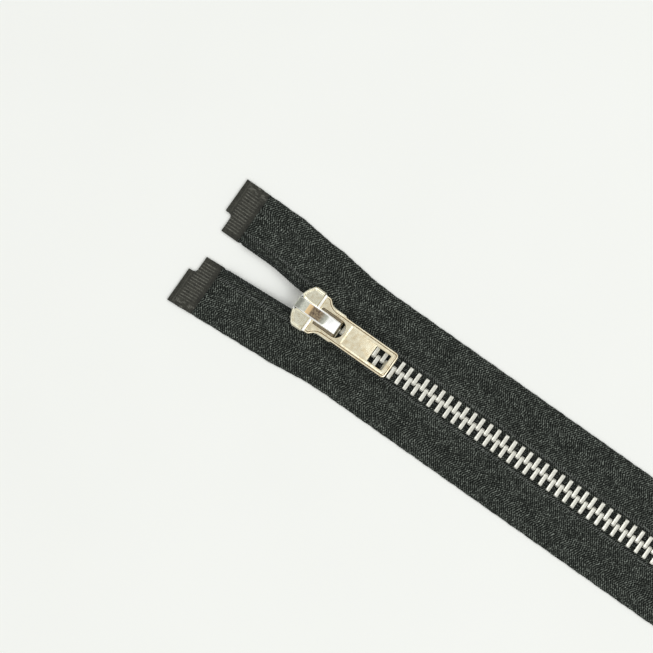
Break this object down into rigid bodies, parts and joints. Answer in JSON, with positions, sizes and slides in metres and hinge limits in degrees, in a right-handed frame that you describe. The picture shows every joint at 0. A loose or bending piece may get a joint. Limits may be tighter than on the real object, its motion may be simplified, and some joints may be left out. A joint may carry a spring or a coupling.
{
  "type": "separating metal zipper",
  "caption": "Closed separating zipper: metal teeth on two woven black tapes, locking slider with a windowed pull, retainer box and insertion pin.",
  "frame": {"origin": "middle of the length on the chain's centre line, at the level of the table it lies on", "axes": "+X up the chain from the retainer box to the free top ends, +Y towards the box-side tape, +Z out of the face, away from the table"},
  "size_m": [0.2072, 0.0379, 0.0072],
  "materials": {
    "tape": "woven herringbone polyester",
    "bead_thread": "braided thread",
    "film": "pressed film with fine ribs",
    "teeth": "tumbled bright",
    "foot_metal": "satin",
    "slider_metal": "champagne nickel plate, satin with bright edges",
    "spring_steel": "satin"
  },
  "bodies": {
    "box_end": {"retainer_box": "foot_metal", "box_pin": "foot_metal", "left_tape_foot": "tape", "left_bead_foot": "bead_thread", "left_foot_face_film": "film", "left_foot_back_film": "film"},
    "right_foot": {"insertion_pin": "foot_metal", "right_tape_foot": "tape", "right_bead_foot": "bead_thread", "right_foot_face_film": "film", "right_foot_back_film": "film"},
    "left_stringer": {"left_tape": "tape", "left_bead_cord": "bead_thread", "left_teeth": "teeth", "left_top_stop": "teeth", "left_top_face_film": "film", "left_top_back_film": "film"},
    "right_stringer": {"right_tape": "tape", "right_bead_cord": "bead_thread", "right_teeth": "teeth", "right_top_stop": "teeth", "right_top_face_film": "film", "right_top_back_film": "film"},
    "slider": {"slider_body": "slider_metal", "slider_crown": "slider_metal"},
    "lock": {"lock_pawl": "spring_steel"},
    "pull": {"pull_tab": "slider_metal"}
  },
  "joints": [
    {"name": "slider_slide", "type": "slide", "parent": "box_end", "child": "slider", "axis": [-1, 0, 0], "range_m": [0, 0.15775]},
    {"name": "left_open", "type": "hinge", "parent": "box_end", "child": "left_stringer", "pos_m": [-0.08305, 0.0016, 0.0022], "axis": [0, 0, 1], "range_deg": [0, 10], "deforming": ["left_tape", "left_bead_cord", "left_teeth"]},
    {"name": "right_open", "type": "hinge", "parent": "right_foot", "child": "right_stringer", "pos_m": [-0.08305, -0.0016, 0.0022], "axis": [0, 0, -1], "range_deg": [0, 10], "deforming": ["right_tape", "right_bead_cord", "right_teeth"]},
    {"name": "pin_withdraw", "type": "slide", "parent": "box_end", "child": "right_foot", "axis": [1, 0, 0], "range_m": [0, 0.0254]},
    {"name": "pull_swing", "type": "hinge", "parent": "slider", "child": "pull", "pos_m": [0.06895, 0, 0.00515], "axis": [0, 1, 0], "range_deg": [0, 175]},
    {"name": "lock_lift", "type": "hinge", "parent": "slider", "child": "lock", "pos_m": [0.06295, 0, 0.0048], "axis": [0, -1, 0], "range_deg": [0, 9]}
  ],
  "couplings": [
    {"joint": "left_open", "follows": "slider_slide", "rad_per_m": 1.1063},
    {"joint": "right_open", "follows": "slider_slide", "rad_per_m": 1.1063},
    {"joint": "lock_lift", "follows": "pull_swing", "ratio": 0.0514}
  ]
}
